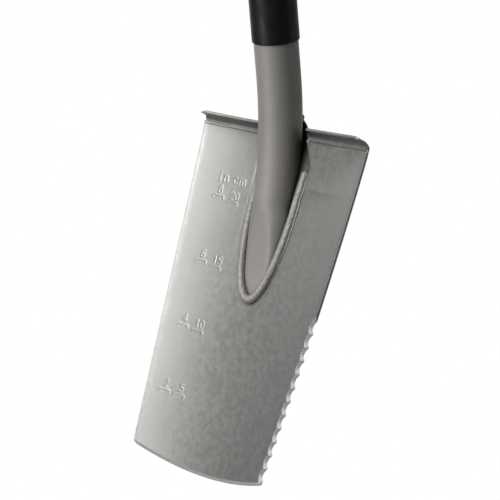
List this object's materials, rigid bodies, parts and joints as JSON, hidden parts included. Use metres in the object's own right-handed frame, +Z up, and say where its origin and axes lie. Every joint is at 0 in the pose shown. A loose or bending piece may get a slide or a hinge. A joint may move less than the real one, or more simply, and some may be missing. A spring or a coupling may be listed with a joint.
{
  "type": "garden spade",
  "caption": "Garden spade with a dished steel blade, saw-toothed edge, pressed depth scale, folded treads, leaning tube shaft and D-grip.",
  "frame": {"origin": "level of the lowest point of the cutting edge, on the blade's middle line, in the plane of the blade's two side edges", "axes": "+X across the blade towards the saw edge, -Y the front where the treads fold and the shaft leans, +Z up the blade"},
  "size_m": [0.1644, 0.373, 0.895],
  "materials": {
    "blade_paint": "warm grey metallic powder coat, satin, with bright ground scallops",
    "tube_paint": "warm grey metallic powder coat, satin",
    "weld": "rippled weld bead under metallic coat",
    "sleeve": "black satin plastic sleeve",
    "collar": "black soft plastic ring",
    "grip": "black fine-textured moulded plastic",
    "pad": "dark grey soft-touch cover",
    "plug": "black moulded plastic",
    "screws": "zinc-plated steel"
  },
  "bodies": {
    "root": {"blade": "blade_paint", "shaft_tube": "tube_paint", "nose_weld": "weld", "tab_weld": "weld", "shaft_sleeve": "sleeve", "grip_collar": "collar", "grip_body": "grip", "grip_pad": "pad", "tube_plug": "plug", "grip_screws": "screws"}
  },
  "joints": []
}
